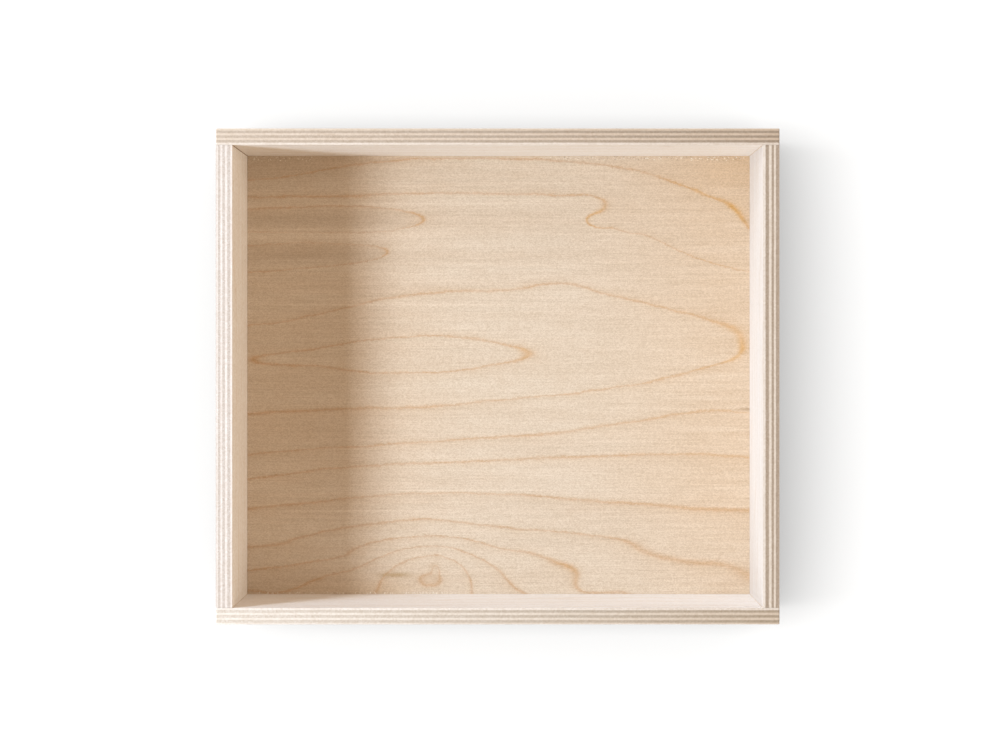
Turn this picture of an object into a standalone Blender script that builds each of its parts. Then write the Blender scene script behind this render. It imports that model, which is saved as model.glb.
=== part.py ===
"""Shadow box: an open-fronted display box of birch plywood, lying on its back.

Four boards meet in dowelled butt joints. The top and bottom boards run the full
width, and the left and right boards are held between them. A thin plywood back
panel sits in a groove round all four boards. The groove is set in from the rear
edges, so that the top board can hook over screws in a wall.

The frame is in metres. The origin is the middle of the box on the plane of its
rear edges. +X points to the right board, +Y to the top board, and +Z out of the
open front.
"""

import math

import bmesh
import bpy
from mathutils import Matrix, Vector

MM = 0.001

# Driving dimensions
WIDTH = 308 * MM
HEIGHT = 271 * MM
DEPTH = 80 * MM
BOARD_THICKNESS = 9 * MM
PANEL_THICKNESS = 4 * MM
REAR_RECESS = 6 * MM

# Joints
GLUE_LINE = 0.1 * MM
GROOVE_DEPTH = 4.5 * MM
PANEL_IN_GROOVE = 4.0 * MM
GROOVE_PLAY = 0.15 * MM
DOWEL_RADIUS = 2.5 * MM
DOWEL_LENGTH = 20 * MM
DOWEL_IN_THROUGH_BOARD = 6 * MM
DOWEL_HOLE_PLAY = 0.1 * MM
DOWEL_HOLE_END_PLAY = 0.5 * MM
DOWELS_PER_CORNER = 3
FIRST_DOWEL_Z = 20 * MM
DOWEL_PITCH = 24 * MM

# Edges and facets
EASED_EDGE = 0.5 * MM
PANEL_EDGE = 0.4 * MM
EASED_SEGMENTS = 2
DOWEL_FLUTES = 12
FLUTE_DEPTH = 0.25 * MM
DOWEL_CHAMFER = 0.8 * MM
HOLE_SEGMENTS = 32
OVERCUT = 1 * MM

# Sizes that follow from them
INNER_WIDTH = WIDTH - 2 * BOARD_THICKNESS
INNER_HEIGHT = HEIGHT - 2 * BOARD_THICKNESS
PANEL_MIDDLE_Z = REAR_RECESS + PANEL_THICKNESS / 2
BOARD_MIDDLE_X = (WIDTH - BOARD_THICKNESS) / 2
BOARD_MIDDLE_Y = (HEIGHT - BOARD_THICKNESS) / 2
TOUCH = 1e-6

# Colour as linear RGB, and roughness
BOARD_FINISH = ((0.80, 0.68, 0.55), 0.55)
PANEL_FINISH = ((0.76, 0.60, 0.43), 0.55)
DOWEL_FINISH = ((0.62, 0.43, 0.28), 0.60)


def clear_scene():
    for obj in list(bpy.data.objects):
        bpy.data.objects.remove(obj, do_unlink=True)


def new_collection(name):
    made = bpy.data.collections.new(name)
    bpy.context.scene.collection.children.link(made)
    return made


def new_material(name, finish):
    colour, roughness = finish
    made = bpy.data.materials.new(name)
    made.use_nodes = True
    shader = made.node_tree.nodes["Principled BSDF"]
    shader.inputs["Base Color"].default_value = (*colour, 1.0)
    shader.inputs["Roughness"].default_value = roughness
    shader.inputs["Metallic"].default_value = 0.0
    return made


def add_object(name, bm, location, collection, material=None):
    mesh = bpy.data.meshes.new(name)
    bm.to_mesh(mesh)
    bm.free()
    obj = bpy.data.objects.new(name, mesh)
    obj.location = location
    collection.objects.link(obj)
    if material:
        mesh.materials.append(material)
    return obj


def add_box(name, size, location, collection, material=None):
    bm = bmesh.new()
    bmesh.ops.create_cube(bm, size=1.0, matrix=Matrix.Diagonal((*size, 1.0)))
    return add_object(name, bm, location, collection, material)


def add_cylinder(name, radius, length, location, collection):
    """A plain cylinder along Y."""
    bm = bmesh.new()
    bmesh.ops.create_cone(
        bm,
        cap_ends=True,
        segments=HOLE_SEGMENTS,
        radius1=radius,
        radius2=radius,
        depth=length,
        matrix=Matrix.Rotation(math.pi / 2, 4, "X"),
    )
    return add_object(name, bm, location, collection)


def hide_cutter(obj):
    obj.hide_render = True
    obj.display_type = "WIRE"


def cut(obj, cutter):
    hide_cutter(cutter)
    modifier = obj.modifiers.new("cut_" + cutter.name, "BOOLEAN")
    modifier.operation = "DIFFERENCE"
    modifier.object = cutter


def on_outline(point):
    """True where two of the box's outer faces meet, which is where hands touch it."""
    on_side = abs(abs(point.x) - WIDTH / 2) < TOUCH
    on_top_or_bottom = abs(abs(point.y) - HEIGHT / 2) < TOUCH
    on_front_or_rear = abs(abs(point.z - DEPTH / 2) - DEPTH / 2) < TOUCH
    return on_side + on_top_or_bottom + on_front_or_rear >= 2


def ease_outline(obj):
    """Rounds the edges of a board that lie on the outline of the whole box."""
    mesh = obj.data
    weights = mesh.attributes.new("bevel_weight_edge", "FLOAT", "EDGE")
    for edge in mesh.edges:
        ends = [obj.location + mesh.vertices[i].co for i in edge.vertices]
        weights.data[edge.index].value = float(on_outline((ends[0] + ends[1]) / 2))
    modifier = obj.modifiers.new("eased_edges", "BEVEL")
    modifier.limit_method = "WEIGHT"
    modifier.width = EASED_EDGE
    modifier.segments = EASED_SEGMENTS


def add_board(name, size, location, collection, material):
    board = add_box(name, size, location, collection, material)
    ease_outline(board)
    return board


def cut_grooves(boards, cutters):
    """Ploughs the panel's groove into the inner face of each board.

    In the top and bottom boards the groove stops short of the ends, so it doesn't
    show. In the left and right boards it runs out at both ends into the others.
    """
    groove_width = PANEL_THICKNESS + 2 * GROOVE_PLAY
    depth = GROOVE_DEPTH + OVERCUT
    stopped = INNER_WIDTH + 2 * GROOVE_DEPTH
    through = INNER_HEIGHT + 2 * OVERCUT
    inner_x = (INNER_WIDTH + GROOVE_DEPTH - OVERCUT) / 2
    inner_y = (INNER_HEIGHT + GROOVE_DEPTH - OVERCUT) / 2
    layout = {
        "top_board": ((stopped, depth, groove_width), (0, inner_y)),
        "bottom_board": ((stopped, depth, groove_width), (0, -inner_y)),
        "left_board": ((depth, through, groove_width), (-inner_x, 0)),
        "right_board": ((depth, through, groove_width), (inner_x, 0)),
    }
    for name, (size, (x, y)) in layout.items():
        cutter = add_box("groove_" + name, size, (x, y, PANEL_MIDDLE_Z), cutters)
        cut(boards[name], cutter)


def add_dowel(name, location, collection, material):
    """A fluted, chamfered dowel along Y: a star-shaped section swept through four rings."""
    half = DOWEL_LENGTH / 2
    rings = [
        (-half, DOWEL_RADIUS - DOWEL_CHAMFER / 2),
        (-half + DOWEL_CHAMFER, DOWEL_RADIUS),
        (half - DOWEL_CHAMFER, DOWEL_RADIUS),
        (half, DOWEL_RADIUS - DOWEL_CHAMFER / 2),
    ]
    points = 2 * DOWEL_FLUTES
    bm = bmesh.new()
    loops = []
    for y, radius in rings:
        loop = []
        for i in range(points):
            angle = 2 * math.pi * i / points
            r = radius - FLUTE_DEPTH * (i % 2)
            loop.append(bm.verts.new((r * math.cos(angle), y, r * math.sin(angle))))
        loops.append(loop)
    for first, second in zip(loops, loops[1:]):
        for i in range(points):
            j = (i + 1) % points
            bm.faces.new((first[i], first[j], second[j], second[i]))
    bm.faces.new(loops[0])
    bm.faces.new(loops[-1])
    bmesh.ops.recalc_face_normals(bm, faces=bm.faces)
    dowel = add_object(name, bm, location, collection, material)
    dowel.data.shade_smooth()
    dowel.data.set_sharp_from_angle(angle=math.radians(20))
    return dowel


def add_dowels(boards, parts, cutters, material):
    """Three dowels across each corner's butt joint, with a hole through both boards."""
    joint_y = INNER_HEIGHT / 2
    middle = joint_y + DOWEL_IN_THROUGH_BOARD - DOWEL_LENGTH / 2
    hole_length = DOWEL_LENGTH + 2 * DOWEL_HOLE_END_PLAY
    for across, side_x in (("left", -1), ("right", 1)):
        for along, side_y in (("top", 1), ("bottom", -1)):
            for i in range(DOWELS_PER_CORNER):
                place = Vector(
                    (
                        side_x * BOARD_MIDDLE_X,
                        side_y * middle,
                        FIRST_DOWEL_Z + i * DOWEL_PITCH,
                    )
                )
                label = f"{along}_{across}_{i + 1}"
                add_dowel("dowel_" + label, place, parts, material)
                hole = add_cylinder(
                    "hole_" + label,
                    DOWEL_RADIUS + DOWEL_HOLE_PLAY,
                    hole_length,
                    place,
                    cutters,
                )
                cut(boards[along + "_board"], hole)
                cut(boards[across + "_board"], hole)


def add_panel(parts, material):
    size = (
        INNER_WIDTH + 2 * PANEL_IN_GROOVE,
        INNER_HEIGHT + 2 * PANEL_IN_GROOVE,
        PANEL_THICKNESS,
    )
    panel = add_box("back_panel", size, (0, 0, PANEL_MIDDLE_Z), parts, material)
    modifier = panel.modifiers.new("broken_edges", "BEVEL")
    modifier.width = PANEL_EDGE
    modifier.segments = 1
    return panel


def main():
    clear_scene()
    parts = new_collection("shadow_box")
    cutters = new_collection("cutters")
    plywood = new_material("birch_plywood", BOARD_FINISH)
    panel_veneer = new_material("birch_panel", PANEL_FINISH)
    beech = new_material("beech_dowel", DOWEL_FINISH)

    through = (WIDTH, BOARD_THICKNESS, DEPTH)
    held = (BOARD_THICKNESS, INNER_HEIGHT - 2 * GLUE_LINE, DEPTH)
    middle_z = DEPTH / 2
    places = {
        "top_board": (through, (0, BOARD_MIDDLE_Y, middle_z)),
        "bottom_board": (through, (0, -BOARD_MIDDLE_Y, middle_z)),
        "left_board": (held, (-BOARD_MIDDLE_X, 0, middle_z)),
        "right_board": (held, (BOARD_MIDDLE_X, 0, middle_z)),
    }
    boards = {
        name: add_board(name, size, place, parts, plywood)
        for name, (size, place) in places.items()
    }
    cut_grooves(boards, cutters)
    add_dowels(boards, parts, cutters, beech)
    add_panel(parts, panel_veneer)


main()
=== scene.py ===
import math
import random

import bmesh
import bpy
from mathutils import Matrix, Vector


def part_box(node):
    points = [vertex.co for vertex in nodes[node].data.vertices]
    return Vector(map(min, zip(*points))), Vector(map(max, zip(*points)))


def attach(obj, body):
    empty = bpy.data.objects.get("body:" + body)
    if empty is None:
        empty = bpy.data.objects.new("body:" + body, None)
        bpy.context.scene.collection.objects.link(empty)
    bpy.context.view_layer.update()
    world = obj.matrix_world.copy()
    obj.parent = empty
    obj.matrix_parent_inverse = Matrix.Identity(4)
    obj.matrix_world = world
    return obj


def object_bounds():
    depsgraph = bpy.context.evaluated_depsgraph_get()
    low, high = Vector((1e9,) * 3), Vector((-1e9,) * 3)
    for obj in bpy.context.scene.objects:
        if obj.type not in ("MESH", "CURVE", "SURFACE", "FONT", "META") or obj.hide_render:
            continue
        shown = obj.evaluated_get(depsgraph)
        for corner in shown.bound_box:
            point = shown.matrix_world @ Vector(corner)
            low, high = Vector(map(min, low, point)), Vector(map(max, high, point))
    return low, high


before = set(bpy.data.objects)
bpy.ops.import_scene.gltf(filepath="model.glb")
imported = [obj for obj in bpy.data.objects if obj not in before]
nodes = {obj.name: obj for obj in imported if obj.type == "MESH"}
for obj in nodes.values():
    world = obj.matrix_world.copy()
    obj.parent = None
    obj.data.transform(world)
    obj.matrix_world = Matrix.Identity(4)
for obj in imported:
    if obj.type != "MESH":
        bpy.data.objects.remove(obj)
cad_low, cad_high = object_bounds()

MM = 0.001

# Places that follow from the frame, in millimetres: half of the box's inside, the boards'
# thickness, the height of the rim and that of the panel's front
top_low, top_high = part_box("top_board")
INNER_X = -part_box("left_board")[1].x / MM
INNER_Y = top_low.y / MM
BOARD = (top_high.y - top_low.y) / MM
RIM_Z = cad_high.z / MM
PANEL_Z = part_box("back_panel")[1].z / MM
OUTER_X = INNER_X + BOARD

# How much of a change in lightness goes to red, green and blue: dark fibres are also browner
BROWNING = (0.80, 1.0, 1.28)


class Graph:
    """A material's node tree, with one method for each kind of node that it uses."""

    def __init__(self, material):
        material.use_nodes = True
        self.tree = material.node_tree
        self.shader = self.tree.nodes["Principled BSDF"]

    def add(self, kind, **settings):
        node = self.tree.nodes.new("ShaderNode" + kind)
        for name, value in settings.items():
            setattr(node, name, value)
        return node

    def feed(self, socket, value):
        if isinstance(value, bpy.types.NodeSocket):
            self.tree.links.new(value, socket)
        elif value is not None:
            socket.default_value = value

    def math(self, operation, a, b=None, c=None, clamp=False):
        node = self.add("Math", operation=operation, use_clamp=clamp)
        for socket, value in zip(node.inputs, (a, b, c)):
            self.feed(socket, value)
        return node.outputs[0]

    def vector(self, operation, a, b=None, c=None, scale=None):
        node = self.add("VectorMath", operation=operation)
        for socket, value in zip(node.inputs, (a, b, c)):
            self.feed(socket, value)
        if scale is not None:
            self.feed(node.inputs["Scale"], scale)
        return node.outputs["Value" if operation == "DOT_PRODUCT" else "Vector"]

    def position(self):
        """Where the shaded point is, in millimetres in the object's own frame."""
        coords = self.add("TexCoord").outputs["Object"]
        return self.vector("SCALE", coords, scale=1 / MM)

    def split(self, vector):
        node = self.add("SeparateXYZ")
        self.feed(node.inputs[0], vector)
        return node.outputs

    def join(self, x, y, z=0.0):
        node = self.add("CombineXYZ")
        for socket, value in zip(node.inputs, (x, y, z)):
            self.feed(socket, value)
        return node.outputs[0]

    def noise(self, vector, size, detail=2.0, roughness=0.5):
        """Noise from 0 to 1 whose lumps measure about size along each axis."""
        node = self.add("TexNoise")
        self.feed(node.inputs["Vector"], self.vector("DIVIDE", vector, size))
        node.inputs["Scale"].default_value = 1.0
        node.inputs["Detail"].default_value = detail
        node.inputs["Roughness"].default_value = roughness
        return node.outputs["Fac"]

    def cells(self, vector, size):
        """A value from 0 to 1 for each small cell. Cells measure about size along each axis."""
        node = self.add("TexVoronoi")
        self.feed(node.inputs["Vector"], self.vector("DIVIDE", vector, size))
        node.inputs["Scale"].default_value = 1.0
        return self.split(node.outputs["Color"])[0]

    def swing(self, noise, amount):
        """Noise made to swing either side of zero by about amount."""
        centred = self.math("SUBTRACT", noise, 0.5)
        return self.math("MULTIPLY", centred, self.math("MULTIPLY", amount, 2.0))

    def fall(self, value, rate):
        """1 where the value is zero, falling off exponentially at this rate."""
        return self.math("EXPONENT", self.math("MULTIPLY", value, -rate))

    def hump(self, value, width):
        """1 where the value is zero, falling off smoothly on both sides within about width."""
        return self.fall(self.math("POWER", self.math("DIVIDE", value, width), 2.0), 1.0)

    def remap(self, value, from_low, from_high, to_low=0.0, to_high=1.0, smooth=True):
        node = self.add("MapRange")
        node.interpolation_type = "SMOOTHSTEP" if smooth else "LINEAR"
        for socket, x in zip(node.inputs, (value, from_low, from_high, to_low, to_high)):
            self.feed(socket, x)
        return node.outputs[0]

    def blend(self, factor, a, b):
        node = self.add("Mix", data_type="FLOAT")
        for i, value in ((0, factor), (2, a), (3, b)):
            self.feed(node.inputs[i], value)
        return node.outputs[0]

    def mix(self, factor, a, b, blend="MIX"):
        node = self.add("Mix", data_type="RGBA", blend_type=blend)
        self.feed(node.inputs[0], factor)
        for socket, value in zip(node.inputs[6:8], (a, b)):
            if isinstance(value, tuple) and len(value) == 3:
                value = (*value, 1.0)
            self.feed(socket, value)
        return node.outputs[2]

    def shade(self, colour, change):
        """The colour made lighter or darker by this share, and browner where it is darker."""
        tone = self.vector("MULTIPLY_ADD", change, BROWNING, (1.0, 1.0, 1.0))
        return self.mix(1.0, colour, tone, "MULTIPLY")

    def curve(self, value, points):
        """A smooth curve through (x, y) points, for x from the first point to the last."""
        left, right = points[0][0], points[-1][0]
        bottom = min(y for x, y in points)
        top = max(y for x, y in points)
        width, rise = right - left, top - bottom
        unit = [((x - left) / width, (y - bottom) / rise) for x, y in points]
        node = self.add("FloatCurve")
        line = node.mapping.curves[0]
        line.points[0].location = unit[0]
        line.points[-1].location = unit[-1]
        for place in unit[1:-1]:
            line.points.new(*place)
        node.mapping.update()
        self.feed(node.inputs["Value"], self.math("MULTIPLY_ADD", value, 1 / width, -left / width))
        return self.math("MULTIPLY_ADD", node.outputs[0], rise, bottom)

    def mounds(self, flat, start, mounds):
        """start plus a set of smooth elliptical mounds: (x, y, half length, half width, height)."""
        total = start
        for x, y, long, wide, height in mounds:
            shrink = (1 / long, 1 / wide, 0)
            offset = (-x / long, -y / wide, 0)
            placed = self.vector("MULTIPLY_ADD", flat, shrink, offset)
            square = self.vector("DOT_PRODUCT", placed, placed)
            total = self.math("MULTIPLY_ADD", self.fall(square, 1.0), height, total)
        return total

    def bump(self, height, strength, distance):
        node = self.add("Bump")
        node.inputs["Strength"].default_value = strength
        node.inputs["Distance"].default_value = distance
        self.feed(node.inputs["Height"], height)
        self.feed(self.shader.inputs["Normal"], node.outputs[0])

    def set(self, name, value):
        self.feed(self.shader.inputs[name], value)


# The panel's growth rings are the level lines of one smooth surface, as on a sawn log's hills
# and hollows: a section from the bottom edge to the top, in millimetres and rings...
RING_SECTION = (
    (-131, 10.9), (-110, 9.6), (-97, 8.9), (-86, 7.95), (-69, 7.0), (-48, 6.0), (-36, 5.0),
    (-14, 4.0), (7, 3.15), (12, 3.08), (18, 3.15), (49, 4.0), (80, 4.55), (98, 4.76),
    (105, 5.0), (112, 5.35), (125, 6.0), (131, 6.3),
)
# ...with mounds and hollows on it: x, y, half length, half width, height in rings
RING_MOUNDS = (
    (-52, 11, 64, 17, -0.42),
    (-125, 9, 16, 6, -0.12),
    (-142, 9, 12, 5, -0.08),
    (170, 108, 75, 55, 1.58),
    (165, 76, 70, 16, 0.31),
    (152, 132, 30, 10, -0.7),
    (165, -6, 88, 34, 1.05),
    (80, -30, 60, 14, 0.22),
    (130, 30, 45, 18, 0.12),
    (150, 14, 14, 14, 0.16),
    (155, -16, 24, 7, -0.42),
    (158, -44, 26, 8, -0.28),
    (-165, 42, 70, 22, 1.0),
    (-100, 70, 55, 10, 0.86),
    (-160, 66, 50, 8, 0.34),
    (-82, 89, 46, 8, 0.70),
    (-150, 88, 50, 8, 0.55),
    (-110, 79, 60, 4, -0.35),
    (56, 88.5, 10, 6, 0.30),
    (74, 86, 12, 6, 0.16),
    (52, 101, 9, 4, -0.08),
    (-165, 121, 60, 12, 1.1),
    (-45, -20, 45, 10, -0.12),
    (-155, -25, 45, 8, 0.14),
    (38, 50, 20, 10, -0.13),
    (-170, -45, 90, 28, -0.95),
    (-105, -56, 50, 9, 0.14),
    (-45, -45, 50, 10, -0.08),
    (-45, -70, 70, 8, 0.13),
    (-160, -104, 60, 22, -1.05),
    (-125, -97, 20, 8, -0.2),
    (-92, -105, 16, 5, -0.2),
    (-145, -112, 16, 5, 0.15),
    (-98, -115, 20, 8, 0.3),
    (-128, -126, 14, 8, -0.25),
    (-38, -114, 34, 17, 2.35),
    (-14, -115, 12, 12, -0.22),
    (-36, -103, 9, 5, 0.17),
    (-36, -111.5, 2.1, 3.0, 0.42),
    (150, -135, 125, 45, -2.4),
    (20, -106, 30, 10, 0.2),
    (0, -100, 14, 6, -0.2),
    (44, -115, 12, 8, 0.15),
    (50, -123, 14, 8, -0.35),
    (-45, -84, 45, 8, 0.2),
    (88, -101, 22, 7, -0.14),
    (130, -112, 20, 7, 0.14),
    (66, 95, 8, 5, 0.08),
    (120, 70, 32, 8, -0.05),
    (132, 112, 14, 7, 0.13),
)
# How steep that surface is across the panel, in rings a millimetre, so that lines stay thin
RING_SLOPE = (
    (-131, 0.07), (-110, 0.07), (-92, 0.075), (-78, 0.055), (-60, 0.05), (-42, 0.07),
    (-25, 0.045), (0, 0.04), (12, 0.03), (25, 0.035), (49, 0.028), (80, 0.022),
    (105, 0.04), (131, 0.05),
)
# Pale streaks along the grain: x, y, half length, half width, strength
PALE_STREAKS = (
    (-40, 99, 90, 0.5, 0.30),
    (-80, 84, 60, 0.5, 0.35),
    (-70, 40.5, 60, 0.5, 0.45),
    (-20, -66.5, 80, 0.5, 0.35),
    (-90, -78.5, 50, 0.5, 0.45),
    (90, 92, 40, 0.5, 0.25),
    (-120, 66, 30, 0.6, 0.2),
    (-95, 80, 60, 2.2, 0.42),
)
# Broader darker bands, most of them inside the noses on the left; the last two are painted shade in
# the panel's top left and bottom left corners
DARK_BANDS_AND_CORNER_SHADE = (
    (-110, 90, 60, 5, 0.40),
    (-115, 69, 55, 5, 0.42),
    (-122, 118, 70, 13, 0.40),
    (-130, -118, 55, 12, 0.22),
)
# Painted shade: the panel darker and warmer along the right board, fading away from it
RIGHT_WALL_SHADE = ((168, -3, 56, 80, 0.85),)
# Where the rings turn back, they are broader and more orange: x, y, half length, half width
# and strength
RING_ACCENTS = (
    (55, 90, 9, 11, 1.0),
    (112, 104, 18, 9, 0.9),
    (136, 94, 12, 10, 1.0),
    (138, 14, 12, 16, 0.6),
    (-42, 90, 8, 9, 0.35),
    (-60, 74, 10, 5, 0.5),
    (14, 14, 7, 6, 0.5),
    (-138, 10, 14, 7, 0.3),
    (38, -114, 12, 14, 0.5),
    (-75, 102, 10, 1.2, 0.7),
)
# The orange corner at the top right, the brown dash and squiggles of the knot, the dark end of
# one ring, and two broad tones: paler at the lower right and darker across the middle
STAINS = (
    ((150, 122, 42, 20, 0.60), (0.70, 0.49, 0.29)),
    ((-59, -115.5, 10, 1.6, 0.90), (0.47, 0.32, 0.15)),
    ((-38, -110, 2.2, 1.4, 0.40), (0.56, 0.38, 0.20)),
    ((-36, -112, 4, 6, 0.18), (0.62, 0.43, 0.25)),
    ((144, -19.6, 6, 0.8, 0.80), (0.40, 0.26, 0.15)),
    ((-68, -124, 16, 5, 0.25), (0.72, 0.52, 0.30)),
    ((60, -122, 95, 36, 0.50), (0.84, 0.745, 0.615)),
    ((0, 0, 120, 40, 0.45), (0.70, 0.585, 0.45)),
)
# The polish of bare sanded wood
WOOD_SHINE = 0.25


def figured_veneer(name):
    """The back panel: a cathedral figure of thin growth rings on pale, finely streaked wood."""
    made = bpy.data.materials.new(name)
    g = Graph(made)
    x, y = g.split(g.position())[:2]
    flat = g.join(x, y)

    # Small wanderings of the rings, in millimetres
    slow = g.swing(g.noise(flat, (30, 14, 1), 2.0, 0.5), 1.5)
    quick = g.swing(g.noise(flat, (8, 3, 1), 2.0, 0.5), 0.8)
    steps = g.swing(g.noise(flat, (2.4, 1.3, 1), 3.0, 0.75), 1.5)
    wander = g.math("ADD", g.math("ADD", slow, quick), steps)
    bent_y = g.math("ADD", y, wander)
    section = g.curve(bent_y, RING_SECTION)
    height = g.mounds(g.join(x, bent_y), section, RING_MOUNDS)
    slope = g.curve(y, RING_SLOPE)

    # Distance in millimetres from the nearest ring: a thin line runs along it, and a soft tone
    # fades slowly on one side and fast on the other
    off = g.math("SUBTRACT", height, g.math("ROUND", height))
    across = g.math("DIVIDE", off, slope)
    accent = g.mounds(flat, 0.0, RING_ACCENTS)
    thin = g.hump(across, g.math("MULTIPLY_ADD", accent, 0.7, 0.62))
    inside = g.math("MULTIPLY", across, g.math("GREATER_THAN", across, 0.0))
    outside = g.math("SUBTRACT", inside, across)
    soft = g.math("MULTIPLY", g.fall(inside, 0.40), g.fall(outside, 1.4))
    strength = g.remap(g.noise(flat, (34, 9, 1)), 0.3, 0.7, 0.8, 1.2)
    strength = g.math("MULTIPLY", strength, g.math("MULTIPLY_ADD", accent, 0.8, 1.0))
    line = g.math("MULTIPLY_ADD", soft, 0.17, g.math("MULTIPLY", thin, 0.32))
    line = g.math("MULTIPLY", line, strength, clamp=True)

    # Fibres, threads, streaks and blotches along the grain
    fibre = g.noise(flat, (15, 0.45, 1), 3.0, 0.6)
    thread = g.noise(flat, (42, 0.85, 1), 2.0, 0.5)
    streak = g.noise(flat, (90, 2.6, 1), 3.0, 0.55)
    band = g.noise(flat, (160, 16, 1), 2.0, 0.5)
    cloud = g.noise(flat, (26, 9, 1), 3.0, 0.5)
    speck = g.cells(flat, (0.62, 0.42, 1))

    wood = g.mix(g.remap(band, 0.3, 0.7), (0.72, 0.60, 0.465), (0.765, 0.66, 0.53))
    # The veneer turns more orange towards the right; its darkening there, near the right board, is
    # painted shade
    warmth_and_shade = g.remap(g.math("ADD", x, g.swing(band, 30.0)), 30.0, 150.0, 0.0, 0.95)
    wood = g.mix(warmth_and_shade, wood, (0.715, 0.552, 0.389))
    # Painted shade along the right board
    wood = g.mix(g.mounds(flat, 0.0, RIGHT_WALL_SHADE), wood, (0.60, 0.45, 0.31))
    wood = g.mix(g.remap(cloud, 0.50, 0.80, 0.0, 0.25), wood, (0.67, 0.51, 0.36))
    wood = g.mix(g.remap(streak, 0.35, 0.75, 0.0, 0.32), wood, (0.87, 0.74, 0.60))
    # Darker grain bands, with painted shade in the left corners
    wood = g.mix(g.mounds(flat, 0.0, DARK_BANDS_AND_CORNER_SHADE), wood, (0.52, 0.41, 0.30))
    stained = g.join(x, g.math("MULTIPLY_ADD", steps, 0.6, y))
    patchy = g.remap(fibre, 0.25, 0.6, 0.45, 1.0)
    for place, colour in STAINS:
        stain = g.math("MULTIPLY", g.mounds(stained, 0.0, (place,)), patchy)
        wood = g.mix(stain, wood, colour)
    wood = g.mix(line, wood, g.mix(accent, (0.59, 0.34, 0.145), (0.66, 0.38, 0.13)))
    wood = g.mix(g.mounds(flat, 0.0, PALE_STREAKS), wood, (0.93, 0.82, 0.69))
    grain = g.math("ADD", g.swing(fibre, 0.13), g.swing(thread, 0.12))
    wood = g.shade(wood, g.math("ADD", grain, g.swing(speck, 0.125)))
    g.set("Base Color", wood)
    g.set("Roughness", g.remap(fibre, 0.3, 0.7, 0.50, 0.66))
    g.set("Specular IOR Level", WOOD_SHINE)
    relief = g.math("MULTIPLY_ADD", fibre, 0.6, g.math("MULTIPLY", speck, 0.4))
    g.bump(relief, 0.25, 0.08 * MM)
    return made


PLIES = 7
WHITE = (1, 1, 1)
OUTER_TINT = (0.91, 0.83, 0.73)
# Millimetres between the growth rings on a board's face, and how speckled its edges are
RING_SPACING = 17.0
EDGE_SPECKLE = 0.07


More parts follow.
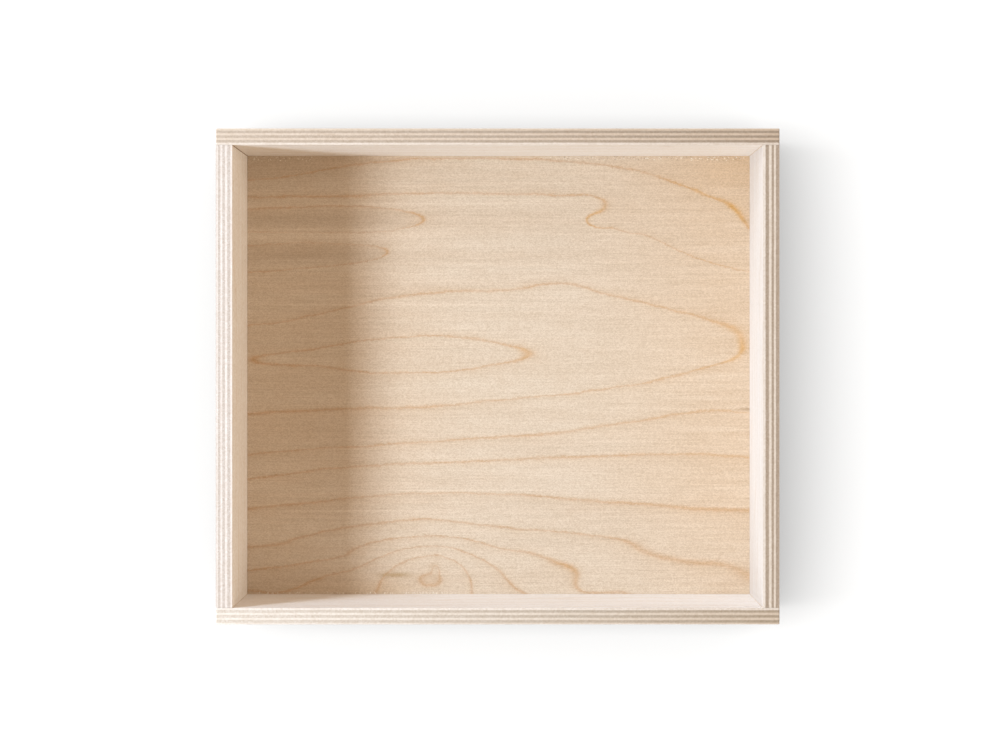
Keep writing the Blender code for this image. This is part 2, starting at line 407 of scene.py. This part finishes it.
def plywood(name, thickness, side, plies, seed, start, finish, painted_light_tint=WHITE, speckle=0.05, marks=()):
    """A board of seven plies. thickness is the axis across the plies, 0 or 1, and side says
    which way the board's outer face looks along it. Every second ply has its grain along the
    board, and the others have it along the depth, so they show end grain at the front. start
    and finish are the edges' pale and dark colours at the board's two ends; they paint the
    sheen of the light from the left, paler and whiter at the left end and darker at the right
    as painted shade. The face tint multiplies the faces' colour and paints how much light each
    board's faces get. marks are dark strokes on the inner face, each with its place along the
    board, its height, half length, half width and strength."""
    made = bpy.data.materials.new(name)
    g = Graph(made)
    x, y, z = g.split(g.position())
    through = (x, y)[thickness]
    along = (x, y)[1 - thickness]
    inner = (INNER_X, INNER_Y)[thickness]
    depth = g.math("MULTIPLY_ADD", through, float(side), -inner)
    place = g.join(g.math("ADD", along, seed * 733.0), depth, z)

    # Which ply the point is in: 0 to 1 is the inner face's veneer, 6 to 7 the outer one's.
    # wave is 0 in the middle of one ply and 1 in the middle of the next, so 0.5 is a glue line
    drift = g.swing(g.noise(place, (40, 400, 60), 2.0), 0.10)
    ragged = g.swing(g.noise(place, (0.9, 0.9, 0.9), 3.0, 0.65), 0.22)
    shaky = g.math("ADD", depth, g.math("ADD", drift, ragged))
    curve = tuple((edge, float(i)) for i, edge in enumerate(plies))
    layer = g.curve(g.math("MINIMUM", g.math("MAXIMUM", shaky, 0.0), BOARD), curve)
    inside = g.math("MINIMUM", g.math("MAXIMUM", layer, 0.5), PLIES - 0.5)
    wave = g.math("PINGPONG", g.math("SUBTRACT", inside, 0.5), 1.0)
    cross_ply = g.remap(wave, 0.38, 0.62)
    glue = g.hump(g.math("SUBTRACT", wave, 0.5), 0.09)

    # How squarely the surface cuts the grain of the ply it is in
    normal = g.split(g.add("NewGeometry").outputs["Normal"])
    cut_long = g.math("ABSOLUTE", normal[1 - thickness])
    cut_cross = g.math("ABSOLUTE", normal[2])
    cut = g.blend(cross_ply, cut_long, cut_cross)
    end_grain = g.remap(cut, 0.35, 0.85)
    on_edge = g.remap(g.math("ABSOLUTE", normal[thickness]), 0.6, 0.9, 1.0, 0.0)

    # Grain along the board, grain along the depth, the pores of end grain, and a tone that
    # differs from ply to ply
    long_fibre = g.noise(place, (14, 0.35, 0.35), 3.0, 0.6)
    cross_fibre = g.noise(place, (0.35, 0.35, 14), 3.0, 0.6)
    pores = g.noise(place, (0.38, 0.55, 0.38), 2.0, 0.7)
    speck = g.cells(place, (1.0, 1.0, 1.0))
    own_row = g.math("MULTIPLY", g.math("FLOOR", layer), 37.0)
    tone = g.noise(g.join(g.math("ADD", along, seed * 91.0), own_row), (50, 8, 1))
    streak = g.noise(place, (110, 3, 4.5), 3.0, 0.55)
    waver = g.swing(g.noise(place, (150, 40, 34)), 1.8)
    rings = g.math("ADD", g.math("DIVIDE", z, RING_SPACING), waver)
    ring_line = g.fall(g.math("PINGPONG", rings, 0.5), 22.0)

    # Wood seen on the board's faces: the inner ones were sanded paler than the outer ones
    wood = g.mix(g.remap(streak, 0.35, 0.7), (0.92, 0.875, 0.82), (0.955, 0.93, 0.895))
    wood = g.mix(g.remap(long_fibre, 0.40, 0.75, 0.0, 0.26), wood, (0.76, 0.64, 0.51))
    outer = g.math("GREATER_THAN", depth, BOARD / 2)
    ring_strength = g.math("MULTIPLY_ADD", outer, 0.3, 0.25)
    wood = g.mix(g.math("MULTIPLY", ring_line, ring_strength), wood, (0.70, 0.54, 0.38))
    wood = g.mix(outer, wood, g.mix(1.0, wood, OUTER_TINT, "MULTIPLY"))
    # Painted light: the face tint makes a board's faces lighter or darker for how much light they
    # get
    wood = g.mix(1.0, wood, painted_light_tint, "MULTIPLY")

    # The plies' long grain and end grain, seen on the board's edges
    # Painted sheen: the edges fade from the sheened colour at the left end to the shaded one at the
    # right
    sheen_fade = g.remap(along, -OUTER_X, OUTER_X, smooth=False)
    pale = g.mix(sheen_fade, start[0], finish[0])
    dark = g.mix(sheen_fade, start[1], finish[1])
    pale = g.mix(g.remap(layer, 0.8, 1.2, 0.5, 0.0), pale, (0.92, 0.87, 0.81))
    pale = g.shade(pale, g.swing(long_fibre, 0.16))
    wood = g.mix(on_edge, wood, pale)
    ends = g.shade(dark, g.math("ADD", g.swing(pores, 0.45), g.swing(cross_fibre, 0.15)))
    wood = g.mix(end_grain, wood, ends)
    glue = g.math("MULTIPLY", glue, g.math("MULTIPLY", on_edge, 0.22))
    wood = g.mix(glue, wood, (0.42, 0.31, 0.22))
    tone = g.math("MULTIPLY", g.remap(tone, 0.35, 0.7, 0.0, 0.12), on_edge)
    wood = g.mix(tone, wood, (0.60, 0.48, 0.36))
    speckled = g.math("MULTIPLY_ADD", on_edge, EDGE_SPECKLE - speckle, speckle)
    wood = g.shade(wood, g.swing(speck, speckled))
    if marks:
        on_inner_face = g.math("LESS_THAN", depth, 0.3)
        mark = g.math("MULTIPLY", g.mounds(g.join(along, z), 0.0, marks), on_inner_face)
        wood = g.mix(mark, wood, (0.36, 0.27, 0.20))
    g.set("Base Color", wood)
    g.set("Roughness", g.remap(end_grain, 0.0, 1.0, 0.55, 0.75))
    g.set("Specular IOR Level", WOOD_SHINE)
    relief = g.math("MULTIPLY_ADD", pores, end_grain, g.math("MULTIPLY", long_fibre, 0.5))
    g.bump(relief, 0.3, 0.10 * MM)
    return made


def dowel_wood(name):
    """Beech: pinkish brown along the grain, with short dark flecks."""
    made = bpy.data.materials.new(name)
    g = Graph(made)
    p = g.position()
    fibre = g.noise(p, (0.3, 8, 0.3), 3.0, 0.6)
    fleck = g.noise(p, (0.25, 1.6, 0.25), 1.0)
    wood = g.mix(g.remap(fibre, 0.35, 0.7), (0.66, 0.47, 0.32), (0.56, 0.38, 0.24))
    wood = g.mix(g.remap(fleck, 0.62, 0.7, 0.0, 0.6), wood, (0.33, 0.20, 0.12))
    g.set("Base Color", wood)
    g.set("Roughness", g.remap(fibre, 0.3, 0.7, 0.5, 0.7))
    g.bump(fibre, 0.3, 0.10 * MM)
    return made


# Where plies meet, from the inner face outwards, in millimetres: no two boards are pressed alike
TOP_PLIES = (0, 1.25, 2.6, 3.85, 5.15, 6.4, 7.75, 9)
BOTTOM_PLIES = (0, 1.2, 2.5, 3.9, 5.25, 6.6, 8.0, 9)
LEFT_PLIES = (0, 1.1, 2.6, 4.0, 5.3, 6.5, 7.7, 9)
RIGHT_PLIES = (0, 1.35, 3.15, 4.65, 5.9, 7.0, 8.55, 9)
# The plies' pale long grain and dark end grain, at one end of a board and at the other. Paler and
# whiter at the left is a painted sheen of the light from the left, and darker at the right is
# painted shade; the left board's edges are painted with that sheen and the right board's with that
# shade
TOP_SHEENED_END = ((0.78, 0.68, 0.57), (0.59, 0.50, 0.41))
TOP_SHADED_END = ((0.65, 0.53, 0.41), (0.385, 0.307, 0.233))
BOTTOM_SHEENED_END = ((0.92, 0.87, 0.79), (0.755, 0.69, 0.61))
BOTTOM_SHADED_END = ((0.70, 0.60, 0.48), (0.44, 0.36, 0.27))
LEFT_EDGES_SHEENED = ((0.95, 0.92, 0.88), (0.715, 0.67, 0.62))
RIGHT_EDGES_SHADED = ((0.82, 0.74, 0.64), (0.45, 0.365, 0.285))

# The top and bottom boards' faces are painted lighter and the right board's darker, standing in for
# the light each one gets
BOARDS = {
    "top_board": plywood(
        "top_plywood", 1, 1, TOP_PLIES, 1, TOP_SHEENED_END, TOP_SHADED_END, painted_light_tint=(1.035, 1.045, 1.05),
    ),
    "bottom_board": plywood(
        "bottom_plywood", 1, -1, BOTTOM_PLIES, 2, BOTTOM_SHEENED_END, BOTTOM_SHADED_END,
        painted_light_tint=(1.035, 1.06, 1.11), marks=((140, 74, 4.5, 0.25, 0.8),),
    ),
    "left_board": plywood(
        "left_plywood", 0, -1, LEFT_PLIES, 3, LEFT_EDGES_SHEENED, LEFT_EDGES_SHEENED, speckle=0.10,
    ),
    "right_board": plywood(
        "right_plywood", 0, 1, RIGHT_PLIES, 4, RIGHT_EDGES_SHADED, RIGHT_EDGES_SHADED, painted_light_tint=(0.81, 0.80, 0.81),
    ),
}
panel_wood = figured_veneer("figured_panel")
beech = dowel_wood("beech")


def dress(obj, material):
    obj.data.materials.clear()
    obj.data.materials.append(material)


for name, node in nodes.items():
    if name in BOARDS:
        dress(node, BOARDS[name])
    elif name == "back_panel":
        dress(node, panel_wood)
    else:
        dress(node, beech)


def new_object(name, mesh, material):
    made = bpy.data.objects.new(name, mesh)
    mesh.materials.append(material)
    bpy.context.scene.collection.objects.link(made)
    return made


def plain_wood(name, colour):
    made = bpy.data.materials.new(name)
    g = Graph(made)
    grain = g.noise(g.position(), (0.6, 0.6, 0.6), 2.0)
    g.set("Base Color", g.shade((*colour, 1.0), g.swing(grain, 0.3)))
    g.set("Roughness", 0.8)
    g.set("Specular IOR Level", 0.2)
    return made


def add_splinter(bm, middle, half, turn, lift):
    """A closed spindle: half its length, width and thickness, turned about Z and lifted at one
    end."""
    level = math.cos(lift)
    along = Vector((math.cos(turn) * level, math.sin(turn) * level, math.sin(lift)))
    side = Vector((-math.sin(turn), math.cos(turn), 0.0))
    up = along.cross(side)
    tips = [bm.verts.new((middle + sign * half[0] * along) * MM) for sign in (-1, 1)]
    ring = [
        bm.verts.new((middle + vector) * MM)
        for vector in (half[1] * side, half[2] * up, -half[1] * side, -half[2] * up)
    ]
    for i in range(4):
        a, b = ring[i], ring[(i + 1) % 4]
        bm.faces.new((a, b, tips[1]))
        bm.faces.new((b, a, tips[0]))


def finish_piece(name, bm, material):
    bmesh.ops.recalc_face_normals(bm, faces=bm.faces)
    mesh = bpy.data.meshes.new(name)
    bm.to_mesh(mesh)
    bm.free()
    piece = new_object(name, mesh, material)
    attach(piece, "root")
    return piece


SPLINTER_HALF_HEIGHTS = (0.05, 0.12)
SPLINTER_GAP = 0.02
SPLINTER_TILT = 0.06


def make_splinters(name, count, x_range, y_range, length, width, turns, colour, seed):
    """Splinters lying on the panel: their middles fall in these ranges, in millimetres."""
    draw = random.Random(seed)
    bm = bmesh.new()
    for _ in range(count):
        half_length = draw.uniform(*length) / 2
        half_width = draw.uniform(*width) / 2
        half_height = draw.uniform(*SPLINTER_HALF_HEIGHTS)
        x, y = draw.uniform(*x_range), draw.uniform(*y_range)
        middle = Vector((x, y, PANEL_Z + half_height + SPLINTER_GAP))
        half = (half_length, half_width, half_height)
        turn, lift = draw.uniform(*turns), draw.uniform(-SPLINTER_TILT, SPLINTER_TILT)
        add_splinter(bm, middle, half, turn, lift)
    return finish_piece(name, bm, plain_wood(name + "_wood", colour))


PALE_FUZZ = (0.91, 0.83, 0.72)
# Dark specks that paint the pale dust's tiny shadows on the panel
DUST_SHADOW = (0.36, 0.25, 0.16)
ALONG_GRAIN = (-0.8, 0.8)
ACROSS_GRAIN = (0.5, 2.6)
# Saw dust along the panel's upper edge, and dark specks beside it that paint its tiny shadows:
# name, count, x from and to, distance from the top board's face from and to, lengths, widths,
# colour and seed
SAW_DUST_AND_SHADOWS = (
    ("pale_dust_left", 26, (-142, -104), (3.0, 0.5), (0.6, 1.4), (0.4, 0.7), PALE_FUZZ, 12),
    ("pale_dust_right", 80, (30, 143), (2.6, 0.5), (0.6, 1.4), (0.4, 0.7), PALE_FUZZ, 13),
    ("dark_dust_right", 55, (35, 143), (2.4, 0.4), (0.4, 1.0), (0.2, 0.4), DUST_SHADOW, 14),
    ("dark_dust_left", 16, (-142, -104), (2.0, 0.4), (0.4, 0.9), (0.2, 0.4), DUST_SHADOW, 15),
)
# Torn fibres that stand across the panel's lower edge
TORN_Y = (-INNER_Y + 0.3, -INNER_Y + 0.9)
make_splinters(
    "torn_fibres", 80, (-141, -32), TORN_Y, (1.0, 2.3), (0.3, 0.6), ACROSS_GRAIN, PALE_FUZZ, 11,
)
for name, count, x_range, gaps, lengths, widths, colour, seed in SAW_DUST_AND_SHADOWS:
    y_range = (INNER_Y - gaps[0], INNER_Y - gaps[1])
    make_splinters(name, count, x_range, y_range, lengths, widths, ALONG_GRAIN, colour, seed)


GLUE_BELOW_RIM = 0.8
GLUE_ABOVE_PANEL = 0.01


def make_corner_glue_and_shade(name, side_x, side_y, leg, colour):
    """A thin fillet of dried glue in an inner corner, from the panel up to just under the rim.
    Its dark colour, deepest at the top left, also paints the shade in the corner's seam.
    """
    bm = bmesh.new()
    corner = Vector((side_x * INNER_X, side_y * INNER_Y))
    outline = (corner, corner - Vector((side_x * leg, 0)), corner - Vector((0, side_y * leg)))
    rows = [
        [bm.verts.new((p.x * MM, p.y * MM, z * MM)) for p in outline]
        for z in (PANEL_Z + GLUE_ABOVE_PANEL, RIM_Z - GLUE_BELOW_RIM)
    ]
    for i in range(3):
        j = (i + 1) % 3
        bm.faces.new((rows[0][i], rows[0][j], rows[1][j], rows[1][i]))
    bm.faces.new(rows[0])
    bm.faces.new(reversed(rows[1]))
    return finish_piece(name, bm, plain_wood(name + "_glue", colour))


# Dried glue in the four corners; how dark each one is paints the seam's shade, most at the top left
make_corner_glue_and_shade("glue_top_left", -1, 1, 0.30, (0.40, 0.30, 0.21))
make_corner_glue_and_shade("glue_top_right", 1, 1, 0.22, (0.62, 0.50, 0.38))
make_corner_glue_and_shade("glue_bottom_left", -1, -1, 0.18, (0.75, 0.64, 0.52))
make_corner_glue_and_shade("glue_bottom_right", 1, -1, 0.18, (0.70, 0.58, 0.46))


# The floor is just under the box, and glows a little so that the shadow on it stays pale
FLOOR_HALF = 12.0
FLOOR_GLOW = 0.277
FLOOR_GREY = 0.06
FLOOR_Z = -0.2 * MM


def make_floor():
    mesh = bpy.data.meshes.new("floor")
    bm = bmesh.new()
    bmesh.ops.create_grid(bm, x_segments=2, y_segments=2, size=FLOOR_HALF)
    bm.to_mesh(mesh)
    bm.free()
    material = bpy.data.materials.new("floor_paper")
    g = Graph(material)
    g.set("Base Color", (FLOOR_GREY, FLOOR_GREY, FLOOR_GREY, 1.0))
    g.set("Roughness", 1.0)
    g.set("Specular IOR Level", 0.0)
    g.set("Emission Color", (1.0, 1.0, 1.0, 1.0))
    g.set("Emission Strength", FLOOR_GLOW)
    floor = new_object("floor", mesh, material)
    floor.location.z = FLOOR_Z
    return floor


def light_group(name, objects):
    made = bpy.data.collections.new(name)
    for obj in objects:
        made.objects.link(obj)
    return made


BOX_MIDDLE = (0, 0, 0.04)


def area_light(name, place, size, power, colour, receivers, aim=BOX_MIDDLE):
    """A rectangular light that only its receivers are lit by. Lengths are in metres here."""
    data = bpy.data.lights.new(name, "AREA")
    data.shape = "RECTANGLE"
    data.size, data.size_y = size
    data.energy = power
    data.color = colour
    made = bpy.data.objects.new(name, data)
    made.location = place
    made.rotation_euler = (Vector(aim) - Vector(place)).to_track_quat("-Z", "Y").to_euler()
    bpy.context.scene.collection.objects.link(made)
    made.light_linking.receiver_collection = receivers
    made.visible_camera = False


left_board = light_group("lit_left_board", [nodes["left_board"]])
meshes = [obj for obj in bpy.data.objects if obj.type == "MESH"]
wooden = light_group("lit_wood", [obj for obj in meshes if obj != nodes["left_board"]])
floor = make_floor()
ground = light_group("lit_floor", [floor])

# Daylight from a long window on the left: a bright band with a dimmer one below it, which
# together give the left board's shadow its soft, long-tailed edge
LEFT_RIM = (-INNER_X * MM, RIM_Z * MM)
WINDOW_DISTANCE = 1.9
WINDOW_LENGTH = 6.6
WINDOW_Y = 0.75


def window(name, elevation, height, power, colour):
    """A band of window light whose middle is at this elevation as seen from the left rim."""
    x = LEFT_RIM[0] - WINDOW_DISTANCE * math.cos(math.radians(elevation))
    z = LEFT_RIM[1] + WINDOW_DISTANCE * math.sin(math.radians(elevation))
    rim = (LEFT_RIM[0], WINDOW_Y, LEFT_RIM[1])
    area_light(name, (x, WINDOW_Y, z), (WINDOW_LENGTH, height), power, colour, wooden, rim)


window("window_high", 44.25, 0.44, 79, (0.84, 0.87, 0.92))
window("window_low", 37.6, 0.60, 43, (0.48, 0.75, 1.0))
# The left board stands nearest to that window: a softer light from above keeps its grain in view
COOL, WARM = (0.72, 0.84, 1.0), (1.0, 0.81, 0.55)
area_light("left_rim", (-0.15, 0, 2.0), (1.0, 1.0), 28.6, COOL, left_board, aim=(-0.15, 0, 0))
area_light("left_fill", (1.2, -0.1, 1.0), (1.2, 0.8), 5.2, WARM, left_board)
# Plain light for the floor, straight down: a key at the left and a dome over everything
area_light("floor_key", (-2.0, 0, 4.0), (3.3, 1.4), 1480, WHITE, ground, aim=(-2.0, 0, 0))
area_light("floor_dome", (0, 0, 3.0), (16, 16), 7480, WHITE, ground, aim=(0, 0, 0))

# The world is white to look at, and lights the wood with a warm, weaker glow
SKY_GLOW = (0.477, 0.350, 0.246, 1.0)
world = bpy.data.worlds.new("studio")
bpy.context.scene.world = world
world.use_nodes = True
sky = world.node_tree
background = sky.nodes["Background"]
ray = sky.nodes.new("ShaderNodeLightPath")
choice = sky.nodes.new("ShaderNodeMix")
choice.data_type = "RGBA"
choice.inputs[6].default_value = SKY_GLOW
choice.inputs[7].default_value = (1.0, 1.0, 1.0, 1.0)
sky.links.new(ray.outputs["Is Camera Ray"], choice.inputs[0])
sky.links.new(choice.outputs[2], background.inputs["Color"])

# Camera straight above, a little off the box's middle, and shifted to keep the box centred
CAMERA_PLACE = (0.0085, 0.0146, 1.306)
camera_data = bpy.data.cameras.new("camera")
camera_data.sensor_width = 36
camera_data.lens = 80.8
camera_data.shift_x = -0.0132
camera_data.shift_y = -0.0253
camera_data.clip_start = 0.05
camera_data.clip_end = 60
camera = bpy.data.objects.new("camera", camera_data)
camera.location = CAMERA_PLACE
bpy.context.scene.collection.objects.link(camera)
bpy.context.scene.camera = camera
bpy.context.scene.view_settings.view_transform = "Standard"
